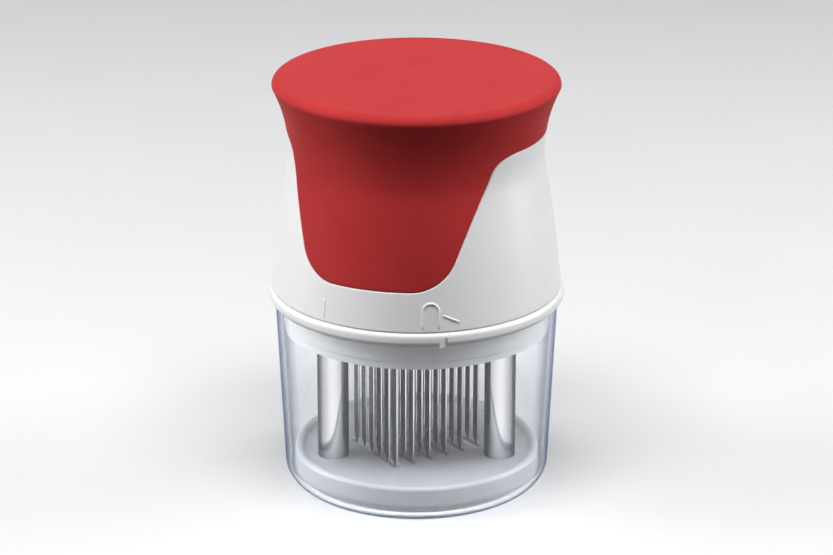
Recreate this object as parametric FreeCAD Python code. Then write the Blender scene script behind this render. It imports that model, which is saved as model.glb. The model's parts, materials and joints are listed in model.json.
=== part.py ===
import FreeCAD, Part
import math
import os
from FreeCAD import Vector

# Palm-pressed blade meat tenderizer, standing in its storage cup. Millimetres.
# Z is up. The origin is the centre of the cup's base. The side that faces -Y is the front, and
# the two guide posts stand at -X and +X, a little in front of the middle.

# ---- cup -------------------------------------------------------------------------------
cup_height = 64.0
cup_rim_radius = 47.0
cup_base_radius = 44.0         # at the top of the bottom corner
cup_corner = 6.5
cup_wall = 2.0
cup_rim_round = 0.6

# ---- blades ----------------------------------------------------------------------------
strip_count = 6
strip_pitch = 6.5
strip_angle = -57.0            # direction of a strip in plan, from +X
blades_per_strip = 6
blade_pitch = 4.8
blade_set_back = 2.0           # centre of the strips, behind the tool's axis
blade_width = 3.0
blade_thickness = 0.6
blade_point = 3.2              # height of the ground point
header_height = 5.4            # the bar that joins the blades of a strip
tip_below_floor = 0.5          # the tips stand just inside the slots

# ---- guard plate -----------------------------------------------------------------------
guard_floor = 3.6
guard_foot = 3.8               # the foot ring, below the floor
guard_rim_height = 10.0        # foot to rim
guard_rim_wall = 2.9
guard_inner_round = 1.0        # where the floor meets the rim
guard_lift = 0.3               # above the cup's floor when stored
guard_cup_gap = 0.7
slot_clearance = 0.4

# ---- guide posts, bushes and springs ----------------------------------------------------
post_radius = 5.2
post_web = 1.4                 # least distance along X from a post to a blade
post_forward = 7.0             # both posts, in front of the tool's axis
post_seat_depth = 1.0
post_spigot_radius = 3.9
post_spigot_length = 8.0
post_hole_clearance = 0.35
bush_wall = 1.45
bush_length = 6.0
bush_running_clearance = 0.06
push_clearance = 0.05
stop_ring_height = 2.0
stop_ring_clearance = 0.3
spring_wire = 1.1
spring_turns = 10
spring_clearance = 0.45
tower_wall = 1.3
spring_cap_plug = 3.0
spring_cap_head = 1.5
head_room = 0.8                # from a spring cap to the screw heads above it

# ---- blade carrier ---------------------------------------------------------------------
bead_height = 4.7
bead_overhang = 2.0            # past the cup's rim
bead_round = 1.4
bead_under_round = 1.6         # height of the rounded underside
nub_width = 1.8                # index nub on the bead's underside, and the notch beside it
nub_height = 3.0
nub_angle = 9.6                # from the front towards +X
notch_width = 0.9
notch_depth = 0.7
skirt_depth = 9.0
skirt_clearance = 0.25
skirt_wall = 2.2
skirt_step = 0.6
skirt_step_height = 2.6
carrier_floor = 3.0
block_margin = 2.0             # plastic round the blade pockets
pocket_clearance = 0.08
boss_radius = 3.6
boss_floor = 0.5               # pilot hole past the screw's tip
collar_height = 8.8
collar_wall = 2.0
frame_thickness = 2.5
frame_inset = 3.5              # frame plate edge inside the skirt's inner wall

# ---- twist lock ------------------------------------------------------------------------
lug_count = 3
lug_arc = 24.0
lug_height = 3.0
lug_depth = 1.4
hook_arc = 26.0
hook_height = 3.7
lock_clearance = 0.3
stop_rib_arc = 3.0
stop_rib_gap = 0.4

# ---- housing and grip --------------------------------------------------------------------
seam_gap = 0.2
handle_height = 71.1
housing_setback = 1.0          # housing foot inside the bead
housing_wall = 2.0
grip_thickness = 2.2
palm_radius = 47.1
palm_edge = 2.6
palm_thickness = 2.4
waist_below_top = 24.5
body_curve = 500.0             # radius of the housing's slightly bowed side
neck_curve = 30.0              # radius that blends the side into the waist
neck_clearance = 1.08          # housing inside, to the spring towers
shelf_below_top = 8.5
shelf_thickness = 2.0
shelf_lip = 3.0                # shelf inside the screw heads
core_plate = 3.0
core_rim_lip = 1.2
core_clearance = 0.1

# tongue of the grip, seen along its own direction
tongue_angle = -18.5           # from the front towards -X is negative
tongue_above_seam = 13.1
tongue_foot_half = 22.7
tongue_foot_round = 13.0
tongue_top_half = 35.2
tongue_top_round = 7.0
tongue_line_below_top = 17.2

# raised lock mark on the housing
mark_angle = 5.5
mark_width = 6.2
mark_height = 8.2
mark_line = 0.9
mark_relief = 0.35
open_mark_relief = 0.15
mark_root = 0.4                # depth that a mark reaches into the wall
mark_above_foot = 1.4
arrow_angle = 13.5
arrow_length = 6.0
arrow_tilt = 25.0
arrow_width = 0.6
arrow_rise = 2.9
open_mark_angle = -38.5
open_mark_height = 6.2

# ---- screws ------------------------------------------------------------------------------
screw_radius = 1.5
screw_head_radius = 2.8
screw_head_height = 2.0
recess_length = 3.2
recess_width = 0.8
recess_depth = 0.6
screw_hole_clearance = 0.3
thread_clearance = 0.05
post_screw_length = 13.0
frame_screw_bite = 4.5
core_screw_bite = 3.6
frame_screw_circle = 32.0
frame_screw_angles = (52.0, 128.0, 232.0, 308.0)
core_screw_angles = (45.0, 135.0, 225.0, 315.0)
core_screw_inset = 1.8         # screw circle inside the neck's inner wall

# ---- places that follow from the sizes ----------------------------------------------------
cup_floor_top = cup_wall
guard_bottom = cup_floor_top + guard_lift
guard_floor_low = guard_bottom + guard_foot
guard_floor_top = guard_floor_low + guard_floor
guard_rim_top = guard_bottom + guard_rim_height
guard_radius = cup_base_radius - cup_wall - guard_cup_gap
tip_z = guard_floor_top - tip_below_floor

carrier_bottom = cup_height - skirt_depth
header_bottom = carrier_bottom + carrier_floor
block_top = header_bottom + header_height + 0.1
seam_z = cup_height + bead_height
bead_radius = cup_rim_radius + bead_overhang
handle_bottom = seam_z + seam_gap
top_z = handle_bottom + handle_height
waist_z = top_z - waist_below_top
flange_z = top_z - palm_edge
shelf_top = top_z - shelf_below_top
shelf_bottom = shelf_top - shelf_thickness

strip_half = (blades_per_strip - 1) * blade_pitch / 2 + blade_width / 2
block_half = (strip_count - 1) * strip_pitch / 2 + blade_thickness / 2
along = Vector(math.cos(math.radians(strip_angle)), math.sin(math.radians(strip_angle)), 0)
across = Vector(-along.y, along.x, 0)
strips_centre = Vector(0, blade_set_back, 0)
corner_reach = block_half * across.x + strip_half * along.x
post_offset = corner_reach + post_web + post_radius
post_places = {"left": (-post_offset, -post_forward), "right": (post_offset, -post_forward)}
post_reach = math.hypot(post_offset, post_forward)

post_seat = guard_floor_top - post_seat_depth
frame_top = block_top + frame_thickness
bush_bottom = frame_top
bush_top = bush_bottom + bush_length
tower_bore = post_radius + bush_wall + push_clearance
tower_radius = tower_bore + tower_wall
spring_bottom = bush_top + stop_ring_height
tower_top = shelf_bottom - screw_head_height - head_room - spring_cap_head
spring_top = tower_top - spring_cap_plug

waist_radius = (post_reach + tower_radius + neck_clearance + housing_wall + grip_thickness)
foot_radius = bead_radius - housing_setback


def cup_outer_radius(z):
    """Outer radius of the cup's tapered wall."""
    share = (z - cup_corner) / (cup_height - cup_corner)
    return cup_base_radius + share * (cup_rim_radius - cup_base_radius)


skirt_radius = cup_outer_radius(carrier_bottom + skirt_step_height) - cup_wall - skirt_clearance
skirt_inner = skirt_radius - skirt_wall
frame_radius = skirt_inner - frame_inset


# ---- shape helpers ------------------------------------------------------------------------
def at(x, z):
    """A point of a profile, in the XZ plane."""
    return Vector(x, 0, z)


def line(a, b):
    return Part.LineSegment(at(*a), at(*b)).toShape()


def arc(a, middle, b):
    return Part.Arc(at(*a), at(*middle), at(*b)).toShape()


def turned(edges):
    """Solid of revolution about Z of a closed profile in the XZ plane."""
    face = Part.Face(Part.Wire(Part.__sortEdges__(edges)))
    return face.revolve(Vector(0, 0, 0), Vector(0, 0, 1), 360)


def rod(radius, z0, z1, x=0.0, y=0.0):
    return Part.makeCylinder(radius, z1 - z0, Vector(x, y, z0))


def tube(inner, outer, z0, z1, x=0.0, y=0.0):
    return rod(outer, z0, z1, x, y).cut(rod(inner, z0 - 1, z1 + 1, x, y))


def spun(shape, angle):
    """Copy turned about the Z axis."""
    copy = shape.copy()
    copy.rotate(Vector(0, 0, 0), Vector(0, 0, 1), angle)
    return copy


def sector(inner, outer, z0, z1, middle, width):
    """Piece of a ring, centred on an angle from +X."""
    wedge = Part.makeCylinder(outer, z1 - z0, Vector(0, 0, z0), Vector(0, 0, 1), width)
    return spun(wedge.cut(rod(inner, z0 - 1, z1 + 1)), middle - width / 2)


def upright_box(centre, half_along, half_across, z0, z1):
    """Box whose long side lies along a blade strip."""
    box = Part.makeBox(2 * half_along, 2 * half_across, z1 - z0,
                       Vector(-half_along, -half_across, z0))
    box = spun(box, strip_angle)
    box.translate(centre)
    return box


def rounded_outline(corners):
    """Closed wire in the XZ plane. Each corner is (x, z, radius)."""
    edges = []
    ends = []
    for i, (x, z, radius) in enumerate(corners):
        here = at(x, z)
        before = (at(*corners[i - 1][:2]) - here).normalize()
        after = (at(*corners[(i + 1) % len(corners)][:2]) - here).normalize()
        if radius == 0:
            ends.append((here, here))
            continue
        half = before.getAngle(after) / 2
        reach = radius / math.tan(half)
        inward = (before + after).normalize()
        middle = here + inward * (radius / math.sin(half) - radius)
        first = here + before * reach
        last = here + after * reach
        edges.append(Part.Arc(first, middle, last).toShape())
        ends.append((first, last))
    for i, (_, leave) in enumerate(ends):
        arrive = ends[(i + 1) % len(ends)][0]
        edges.append(Part.LineSegment(leave, arrive).toShape())
    return Part.Wire(Part.__sortEdges__(edges))


def through(wire, reach=100.0):
    """Prism of a wire in the XZ plane, both ways along Y."""
    face = Part.Face(wire)
    face.translate(Vector(0, -reach, 0))
    return face.extrude(Vector(0, 2 * reach, 0))


def strip_centres():
    for k in range(strip_count):
        yield k, strips_centre + across * ((k - (strip_count - 1) / 2) * strip_pitch)


def blade_offsets():
    for k in range(blades_per_strip):
        yield (k - (blades_per_strip - 1) / 2) * blade_pitch


def on_circle(radius, angle):
    return radius * math.cos(math.radians(angle)), radius * math.sin(math.radians(angle))


def cross_recess(x, y, z):
    """Cutter for a cross recess, centred on the face of a screw's head."""
    long, short = recess_length / 2, recess_width / 2
    low = z - recess_depth
    one = Part.makeBox(2 * long, 2 * short, 2 * recess_depth, Vector(x - long, y - short, low))
    other = Part.makeBox(2 * short, 2 * long, 2 * recess_depth, Vector(x - short, y - long, low))
    return one.fuse(other)


def pan_screw(x, y, seat, tip):
    """Pan-head screw. The head stands past the seat, away from the tip."""
    head_end = seat + math.copysign(screw_head_height, seat - tip)
    head = rod(screw_head_radius, min(seat, head_end), max(seat, head_end), x, y)
    shank = rod(screw_radius, min(seat, tip), max(seat, tip), x, y)
    return head.fuse(shank).removeSplitter().cut(cross_recess(x, y, head_end))


# ---- cup body -----------------------------------------------------------------------------
def make_cup():
    flat = cup_base_radius - cup_corner
    inner_corner = cup_corner - cup_wall
    diagonal = math.sin(math.radians(45))
    inner_base = cup_base_radius - cup_wall
    inner_rim = cup_rim_radius - cup_wall
    edges = [
        line((0, 0), (flat, 0)),
        arc((flat, 0), (flat + cup_corner * diagonal, cup_corner * (1 - diagonal)),
            (cup_base_radius, cup_corner)),
        line((cup_base_radius, cup_corner), (cup_rim_radius, cup_height)),
        line((cup_rim_radius, cup_height), (inner_rim, cup_height)),
        line((inner_rim, cup_height), (inner_base, cup_corner)),
        arc((inner_base, cup_corner),
            (flat + inner_corner * diagonal, cup_corner - inner_corner * diagonal),
            (flat, cup_floor_top)),
        line((flat, cup_floor_top), (0, cup_floor_top)),
        line((0, cup_floor_top), (0, 0)),
    ]
    cup = turned(edges)
    rim = [e for e in cup.Edges if e.BoundBox.ZMin > cup_height - 0.01 and len(e.Vertexes) == 1]
    return cup.makeFillet(cup_rim_round, rim)


# ---- guard body ---------------------------------------------------------------------------
def make_guard_plate():
    """Shallow plate with a rounded rim, a slot for each strip, and a foot ring below."""
    corner = guard_radius - (cup_base_radius - cup_corner) + 0.2
    diagonal = math.sin(math.radians(45))
    flat = guard_radius - corner
    inner = guard_radius - guard_rim_wall
    rim_round = guard_rim_wall / 2
    rim_side = guard_rim_top - rim_round
    round_end = guard_floor_top + guard_inner_round
    foot_inner = flat - guard_rim_wall
    edges = [
        line((0, guard_floor_low), (foot_inner, guard_floor_low)),
        line((foot_inner, guard_floor_low), (foot_inner, guard_bottom)),
        line((foot_inner, guard_bottom), (flat, guard_bottom)),
        arc((flat, guard_bottom),
            (flat + corner * diagonal, guard_bottom + corner * (1 - diagonal)),
            (guard_radius, guard_bottom + corner)),
        line((guard_radius, guard_bottom + corner), (guard_radius, rim_side)),
        arc((guard_radius, rim_side), (guard_radius - rim_round, guard_rim_top),
            (inner, rim_side)),
        line((inner, rim_side), (inner, round_end)),
        arc((inner, round_end),
            (inner - guard_inner_round * (1 - diagonal),
             round_end - guard_inner_round * diagonal),
            (inner - guard_inner_round, guard_floor_top)),
        line((inner - guard_inner_round, guard_floor_top), (0, guard_floor_top)),
        line((0, guard_floor_top), (0, guard_floor_low)),
    ]
    plate = turned(edges)
    for _, centre in strip_centres():
        slot = upright_box(centre, strip_half + 2 * slot_clearance,
                           blade_thickness / 2 + slot_clearance,
                           guard_bottom, guard_floor_top + 1)
        plate = plate.cut(slot)
    hole = screw_radius + screw_hole_clearance
    for x, y in post_places.values():
        seat = rod(post_radius + push_clearance, post_seat, guard_floor_top + 1, x, y)
        through_hole = rod(hole, guard_bottom, post_seat + 1, x, y)
        sink = Part.makeCone(screw_head_radius + push_clearance, hole, screw_head_height,
                             Vector(x, y, guard_floor_low))
        plate = plate.cut(seat).cut(through_hole).cut(sink)
    return plate


def make_post(x, y):
    post = rod(post_radius, post_seat, bush_top, x, y)
    post = post.fuse(rod(post_spigot_radius, bush_top, bush_top + stop_ring_height
                         + post_spigot_length, x, y))
    thread = rod(screw_radius + thread_clearance, post_seat - 1,
                 guard_floor_low + post_screw_length + 1, x, y)
    return post.removeSplitter().cut(thread)


def make_stop_ring(x, y):
    return tube(post_spigot_radius + 0.02, tower_bore - stop_ring_clearance,
                bush_top, spring_bottom, x, y)


def make_post_screws():
    screws = []
    for x, y in post_places.values():
        head = Part.makeCone(screw_head_radius, screw_radius, screw_head_height,
                             Vector(x, y, guard_floor_low))
        shank = rod(screw_radius, guard_floor_low + screw_head_height,
                    guard_floor_low + post_screw_length, x, y)
        screw = head.fuse(shank).removeSplitter()
        screws.append(screw.cut(cross_recess(x, y, guard_floor_low)))
    return Part.makeCompound(screws)


# ---- blade unit ---------------------------------------------------------------------------
def make_blade_strip(centre):
    """One stamped strip: a bar with pointed blades below it."""
    points = [(-strip_half, header_bottom + header_height), (-strip_half, header_bottom)]
    for s in blade_offsets():
        low = tip_z + blade_point
        points += [(s - blade_width / 2, header_bottom), (s - blade_width / 2, low),
                   (s, tip_z), (s + blade_width / 2, low), (s + blade_width / 2, header_bottom)]
    points += [(strip_half, header_bottom), (strip_half, header_bottom + header_height)]
    corners = [at(*p) for p in points]
    corners = [p for i, p in enumerate(corners) if not p.isEqual(corners[i - 1], 1e-6)]
    face = Part.Face(Part.makePolygon(corners + corners[:1]))
    face.translate(Vector(0, -blade_thickness / 2, 0))
    strip = spun(face.extrude(Vector(0, blade_thickness, 0)), strip_angle)
    strip.translate(centre)
    return strip


def make_bead_ring():
    inner = skirt_radius
    share = 1 - math.sin(math.radians(45))
    under_z = cup_height + bead_under_round
    edges = [
        line((inner, cup_height), (cup_rim_radius, cup_height)),
        arc((cup_rim_radius, cup_height),
            (bead_radius - bead_overhang * share, cup_height + bead_under_round * share),
            (bead_radius, under_z)),
        line((bead_radius, under_z), (bead_radius, seam_z - bead_round)),
        arc((bead_radius, seam_z - bead_round),
            (bead_radius - bead_round * share, seam_z - bead_round * share),
            (bead_radius - bead_round, seam_z)),
        line((bead_radius - bead_round, seam_z), (inner, seam_z)),
        line((inner, seam_z), (inner, cup_height)),
    ]
    return turned(edges)


def make_blade_carrier():
    step_z = carrier_bottom + skirt_step_height
    body = tube(skirt_inner, skirt_radius, step_z, seam_z)
    body = body.fuse(tube(skirt_inner, skirt_radius - skirt_step, carrier_bottom, step_z))
    body = body.fuse(rod(skirt_inner + 0.1, carrier_bottom, header_bottom))
    body = body.fuse(make_bead_ring())

    # blade block and the bosses that take the frame's screws
    body = body.fuse(upright_box(strips_centre, strip_half + block_margin,
                                 block_half + block_margin, header_bottom - 1, block_top))
    for angle in frame_screw_angles:
        x, y = on_circle(frame_screw_circle, angle)
        body = body.fuse(rod(boss_radius, header_bottom - 1, block_top, x, y))
        pilot = rod(screw_radius + thread_clearance, block_top - frame_screw_bite - boss_floor,
                    block_top + 1, x, y)
        body = body.cut(pilot)

    # collar and lugs of the twist lock
    body = body.fuse(tube(collar_radius - collar_wall, collar_radius,
                          cup_height, lug_top))
    body = body.fuse(tube(collar_radius - collar_wall, skirt_radius,
                          seam_z - collar_wall, seam_z))
    for k in range(lug_count):
        body = body.fuse(sector(collar_radius - 0.5, collar_radius + lug_depth,
                                lug_top - lug_height, lug_top, 360 * k / lug_count, lug_arc))

    # pockets for the strips, a slot for each blade, and the holes for the posts
    for _, centre in strip_centres():
        pocket = upright_box(centre, strip_half + pocket_clearance,
                             blade_thickness / 2 + pocket_clearance,
                             header_bottom, block_top + 1)
        body = body.cut(pocket)
        for s in blade_offsets():
            slot = upright_box(centre + along * s, blade_width / 2 + pocket_clearance,
                               blade_thickness / 2 + pocket_clearance,
                               carrier_bottom - 1, header_bottom + 1)
            body = body.cut(slot)
    for x, y in post_places.values():
        body = body.cut(rod(post_radius + post_hole_clearance, carrier_bottom - 1, block_top + 1,
                            x, y))

    nub_span = math.degrees(nub_width / bead_radius)
    notch_span = math.degrees(notch_width / bead_radius)
    front = -90 + nub_angle
    body = body.fuse(sector(skirt_radius, bead_radius, cup_height, cup_height + nub_height,
                            front, nub_span))
    notch = sector(bead_radius - notch_depth, bead_radius + 1, cup_height - 1,
                   cup_height + nub_height, front + (nub_span + notch_span) / 2, notch_span)
    return body.cut(notch).removeSplitter()


def make_spring_frame():
    """Plate that holds the strips down, with a tower over each post."""
    frame = rod(frame_radius, block_top, frame_top)
    for x, y in post_places.values():
        frame = frame.fuse(rod(tower_radius, block_top, tower_top, x, y))
    for x, y in post_places.values():
        frame = frame.cut(rod(tower_bore, bush_bottom, tower_top + 1, x, y))
        frame = frame.cut(rod(post_radius + post_hole_clearance, block_top - 1, bush_bottom + 1,
                              x, y))
    for angle in frame_screw_angles:
        x, y = on_circle(frame_screw_circle, angle)
        frame = frame.cut(rod(screw_radius + screw_hole_clearance, block_top - 1, frame_top + 1, x, y))
    return frame.removeSplitter()


def make_bush(x, y):
    return tube(post_radius + bush_running_clearance, tower_bore - push_clearance,
                bush_bottom, bush_top, x, y)


def make_spring(x, y):
    """Open coil spring between the stop ring and the cap of its tower."""
    middle = tower_bore - spring_clearance - spring_wire / 2
    wire_radius = spring_wire / 2
    height = spring_top - spring_bottom - spring_wire
    helix = Part.makeHelix(height / spring_turns, height, middle)
    profile = Part.Wire(Part.makeCircle(wire_radius, Vector(middle, 0, 0), Vector(0, 1, 0)))
    coil = Part.Wire(helix).makePipeShell([profile], True, True)
    coil.translate(Vector(x, y, spring_bottom + wire_radius))
    return coil


def make_spring_cap(x, y):
    plug = rod(tower_bore - push_clearance, spring_top, tower_top, x, y)
    head = rod(tower_radius, tower_top, tower_top + spring_cap_head, x, y)
    return plug.fuse(head).removeSplitter()


def make_frame_screws():
    return Part.makeCompound([
        pan_screw(*on_circle(frame_screw_circle, angle), frame_top, block_top - frame_screw_bite)
        for angle in frame_screw_angles])


# ---- handle profile -----------------------------------------------------------------------
def side_centre():
    """Centre of the side's arc, which starts at the foot and is tangent to the neck's arc."""
    dx = waist_radius + neck_curve - foot_radius
    dz = waist_z - handle_bottom
    reach = math.hypot(dx, dz)
    far = body_curve + neck_curve
    cosine = (body_curve ** 2 + reach ** 2 - far ** 2) / (2 * body_curve * reach)
    aim = math.atan2(dz, dx) + math.acos(cosine)
    return foot_radius + body_curve * math.cos(aim), handle_bottom + body_curve * math.sin(aim)


def side_radius(z):
    """Outer radius of the handle between its foot and its neck."""
    centre_x, centre_z = side_centre()
    return centre_x + math.sqrt(body_curve ** 2 - (z - centre_z) ** 2)


def side_end():
    """Point where the side's arc meets the neck's arc."""
    centre_x, centre_z = side_centre()
    share = neck_curve / (body_curve + neck_curve)
    neck_x = waist_radius + neck_curve
    return neck_x + share * (centre_x - neck_x), waist_z + share * (centre_z - waist_z)


def bulge(a, b, radius):
    """Middle point of the arc from a to b. It bends towards the axis, or away from it when the
    radius is negative."""
    chord = math.hypot(b[0] - a[0], b[1] - a[1])
    sag = math.copysign(abs(radius) - math.sqrt(radius ** 2 - chord ** 2 / 4), radius)
    nx, nz = (b[1] - a[1]) / chord, -(b[0] - a[0]) / chord
    return (a[0] + b[0]) / 2 - nx * sag, (a[1] + b[1]) / 2 - nz * sag


def handle_body(inset, edge_round=0.0):
    """Solid of the handle's outer shape, with every radius smaller by inset."""
    neck_x, neck_z = side_end()
    foot = (foot_radius - inset, handle_bottom)
    neck = (neck_x - inset, neck_z)
    waist = (waist_radius - inset, waist_z)
    flange = (palm_radius - inset, flange_z)
    rise = flange_z - waist_z
    flare = palm_radius - waist_radius
    flare_curve = (rise ** 2 + flare ** 2) / (2 * flare)
    edges = [line((0, handle_bottom), foot),
             arc(foot, bulge(foot, neck, -body_curve), neck),
             arc(neck, bulge(neck, waist, neck_curve), waist),
             arc(waist, bulge(waist, flange, flare_curve), flange)]
    top = (flange[0] - edge_round, top_z)
    if edge_round:
        share = 1 - math.sin(math.radians(45))
        edges.append(arc(flange, (flange[0] - edge_round * share, top_z - palm_edge * share), top))
    else:
        edges.append(line(flange, top))
    edges += [line(top, (0, top_z)), line((0, top_z), (0, handle_bottom))]
    return turned(edges)


def between(shape, z0, z1):
    return shape.common(rod(2 * bead_radius, z0, z1))


def tongue_prism(grow=0.0):
    """Region of the grip: two tongues below a line, and everything above the line."""
    foot_z = handle_bottom + tongue_above_seam - grow
    line_z = top_z - tongue_line_below_top - grow
    foot_half = tongue_foot_half + grow
    top_half = tongue_top_half + grow
    far = 2 * bead_radius
    right = [(foot_half, foot_z, tongue_foot_round), (top_half, line_z, tongue_top_round),
             (far, line_z, 0), (far, top_z + 10, 0)]
    left = [(-x, z, r) for x, z, r in reversed(right)]
    return spun(through(rounded_outline(right + left)), tongue_angle)


def make_lock_mark():
    """Raised shackle outline, a bar that shows the way to turn, and the open position's line."""
    root = handle_body(mark_root)
    band = handle_body(-mark_relief).cut(root)
    low_band = handle_body(-open_mark_relief).cut(root)
    low = handle_bottom + mark_above_foot
    outer = mark_width / 2
    inner = outer - mark_line
    spring_z = low + mark_height - outer
    marks = []
    arch = rod(outer, 0, 60).cut(rod(inner, -1, 61))
    arch.rotate(Vector(0, 0, 0), Vector(1, 0, 0), 90)
    arch.translate(Vector(0, 0, spring_z))
    above = Part.makeBox(20, 80, 20, Vector(-10, -70, spring_z))
    marks.append(arch.common(above))
    for side in (-1, 1):
        x = side * (outer + inner) / 2
        marks.append(Part.makeBox(mark_line, 60, spring_z - low,
                                  Vector(x - mark_line / 2, -60, low)))
    shackle = spun(marks[0].fuse(marks[1:]).common(band), mark_angle)
    bar = Part.makeBox(arrow_length, 60, arrow_width, Vector(-arrow_length / 2, -60, 0))
    bar.rotate(Vector(0, 0, 0), Vector(0, 1, 0), arrow_tilt)
    bar.translate(Vector(0, 0, low + arrow_rise))
    open_mark = Part.makeBox(mark_line, 60, open_mark_height, Vector(-mark_line / 2, -60, low))
    return [shackle, spun(bar.common(band), arrow_angle),
            spun(open_mark.common(low_band), open_mark_angle)]


def make_housing(grip_region):
    skin = handle_body(0).cut(handle_body(grip_thickness))
    shell = between(handle_body(0), handle_bottom, shelf_top)
    shell = shell.cut(skin.common(grip_region))
    shell = shell.cut(between(handle_body(grip_thickness + housing_wall),
                              handle_bottom - 1, shelf_bottom))
    white_inside = between(handle_body(housing_wall), handle_bottom - 1, shelf_bottom)
    shell = shell.cut(white_inside.cut(tongue_prism(housing_wall)))
    shelf_inner = core_screw_circle - screw_head_radius - shelf_lip
    shell = shell.cut(rod(shelf_inner, handle_bottom - 1, top_z))
    hole = screw_radius + screw_hole_clearance
    for angle in core_screw_angles:
        x, y = on_circle(core_screw_circle, angle)
        shell = shell.cut(rod(hole, shelf_bottom - 1, shelf_top + 1, x, y))

    # hooks that reach under the carrier's lugs, and a rib that ends the turn
    hook_top = lug_top - lug_height - lock_clearance
    outside = between(handle_body(housing_wall / 2), handle_bottom, lug_top + hook_height)
    for k in range(lug_count):
        middle = 360 * k / lug_count
        hook = sector(collar_radius + lock_clearance, foot_radius, hook_top - hook_height,
                      hook_top, middle, hook_arc)
        rib_middle = middle + (lug_arc + stop_rib_arc) / 2 + stop_rib_gap
        rib = sector(collar_radius + lock_clearance, foot_radius, hook_top - hook_height,
                     lug_top, rib_middle, stop_rib_arc)
        shell = shell.fuse(hook.common(outside)).fuse(rib.common(outside))
    for mark in make_lock_mark():
        shell = shell.fuse(mark)
    return shell.removeSplitter()


def make_grip(grip_region):
    body = handle_body(0, palm_edge)
    core = between(handle_body(grip_thickness), handle_bottom - 1, top_z - palm_thickness)
    return body.cut(core).common(grip_region).removeSplitter()


def make_cap_core():
    core = between(handle_body(grip_thickness + core_clearance), shelf_top,
                   top_z - palm_thickness - core_clearance)
    pocket = rod(core_screw_circle - screw_head_radius - core_rim_lip, shelf_top - 1,
                 top_z - palm_thickness - core_clearance - core_plate)
    core = core.cut(pocket)
    for angle in core_screw_angles:
        x, y = on_circle(core_screw_circle, angle)
        core = core.cut(rod(screw_radius + thread_clearance, shelf_top - 1,
                            shelf_top + core_screw_bite + boss_floor, x, y))
    return core


def make_cap_screws():
    return Part.makeCompound([
        pan_screw(*on_circle(core_screw_circle, angle), shelf_bottom, shelf_top + core_screw_bite)
        for angle in core_screw_angles])


# the collar fills the room inside the housing's foot, less its lugs
lug_top = seam_z + collar_height
collar_radius = side_radius(lug_top) - housing_wall - lock_clearance - lug_depth
core_screw_circle = waist_radius - grip_thickness - housing_wall - core_screw_inset


def main():
    region = tongue_prism()
    nodes = {
        "cup": make_cup(),
        "guard_plate": make_guard_plate(),
        "post_screws": make_post_screws(),
        "blade_carrier": make_blade_carrier(),
        "spring_frame": make_spring_frame(),
        "frame_screws": make_frame_screws(),
        "housing": make_housing(region),
        "grip": make_grip(region),
        "cap_core": make_cap_core(),
        "cap_screws": make_cap_screws(),
    }
    for side, (x, y) in post_places.items():
        nodes["guide_post_" + side] = make_post(x, y)
        nodes["stop_ring_" + side] = make_stop_ring(x, y)
        nodes["post_bush_" + side] = make_bush(x, y)
        nodes["return_spring_" + side] = make_spring(x, y)
        nodes["spring_cap_" + side] = make_spring_cap(x, y)
    for k, centre in strip_centres():
        nodes["blade_strip_%d" % (k + 1)] = make_blade_strip(centre)

    os.makedirs("parts", exist_ok=True)
    for name in sorted(nodes):
        shape = nodes[name]
        box = shape.BoundBox
        print("%-18s solids %d valid %s volume %9.1f  z %6.1f to %6.1f  x %6.1f to %6.1f" % (
            name, len(shape.Solids), shape.isValid(), shape.Volume,
            box.ZMin, box.ZMax, box.XMin, box.XMax))
        shape.exportStep("parts/%s.step" % name)


main()
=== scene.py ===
import json
import math

import bmesh
import bpy
import numpy as np
from mathutils import Matrix, Vector


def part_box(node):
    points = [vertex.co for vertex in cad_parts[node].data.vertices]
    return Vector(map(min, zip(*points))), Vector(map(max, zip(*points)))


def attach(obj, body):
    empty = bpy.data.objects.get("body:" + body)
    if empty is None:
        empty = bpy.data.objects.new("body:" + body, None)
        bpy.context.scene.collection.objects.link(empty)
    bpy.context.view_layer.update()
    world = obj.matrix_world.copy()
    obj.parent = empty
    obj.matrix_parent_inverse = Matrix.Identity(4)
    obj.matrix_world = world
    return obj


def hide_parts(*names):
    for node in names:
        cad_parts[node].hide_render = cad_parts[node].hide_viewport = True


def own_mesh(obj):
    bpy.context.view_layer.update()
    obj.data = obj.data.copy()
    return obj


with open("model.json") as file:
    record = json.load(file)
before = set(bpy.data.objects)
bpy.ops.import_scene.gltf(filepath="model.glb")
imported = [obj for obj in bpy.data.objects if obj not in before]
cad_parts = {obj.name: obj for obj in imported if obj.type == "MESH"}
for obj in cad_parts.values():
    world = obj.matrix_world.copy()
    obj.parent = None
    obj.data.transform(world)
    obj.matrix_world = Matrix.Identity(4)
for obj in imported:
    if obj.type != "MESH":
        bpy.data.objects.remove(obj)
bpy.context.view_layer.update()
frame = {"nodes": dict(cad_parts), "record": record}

# =============================================================================================
# Sizes, in metres. The same frame as the CAD model: Z up, origin at the centre of the cup's
# base, the guide posts at -X and +X, and the front towards -Y.
# =============================================================================================
MM = 0.001
UP = Vector((0, 0, 1))


def height_span(node):
    low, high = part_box(node)
    return low.z, high.z


def half_width(node):
    low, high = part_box(node)
    return (high.x - low.x) / 2


AXIS_R = 1.0 * MM               # innermost ring of a turned piece, closed by a pole
SHARP = 0.1 * MM                # round of an edge that looks sharp

CUP_TOP = height_span("cup")[1]
CUP_WALL = 2.0 * MM
CUP_CORNER = 6.5 * MM
CUP_LIP = 0.55 * MM
CUP_BASE_R = 44.0 * MM
CUP_RIM_R = 47.0 * MM

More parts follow.
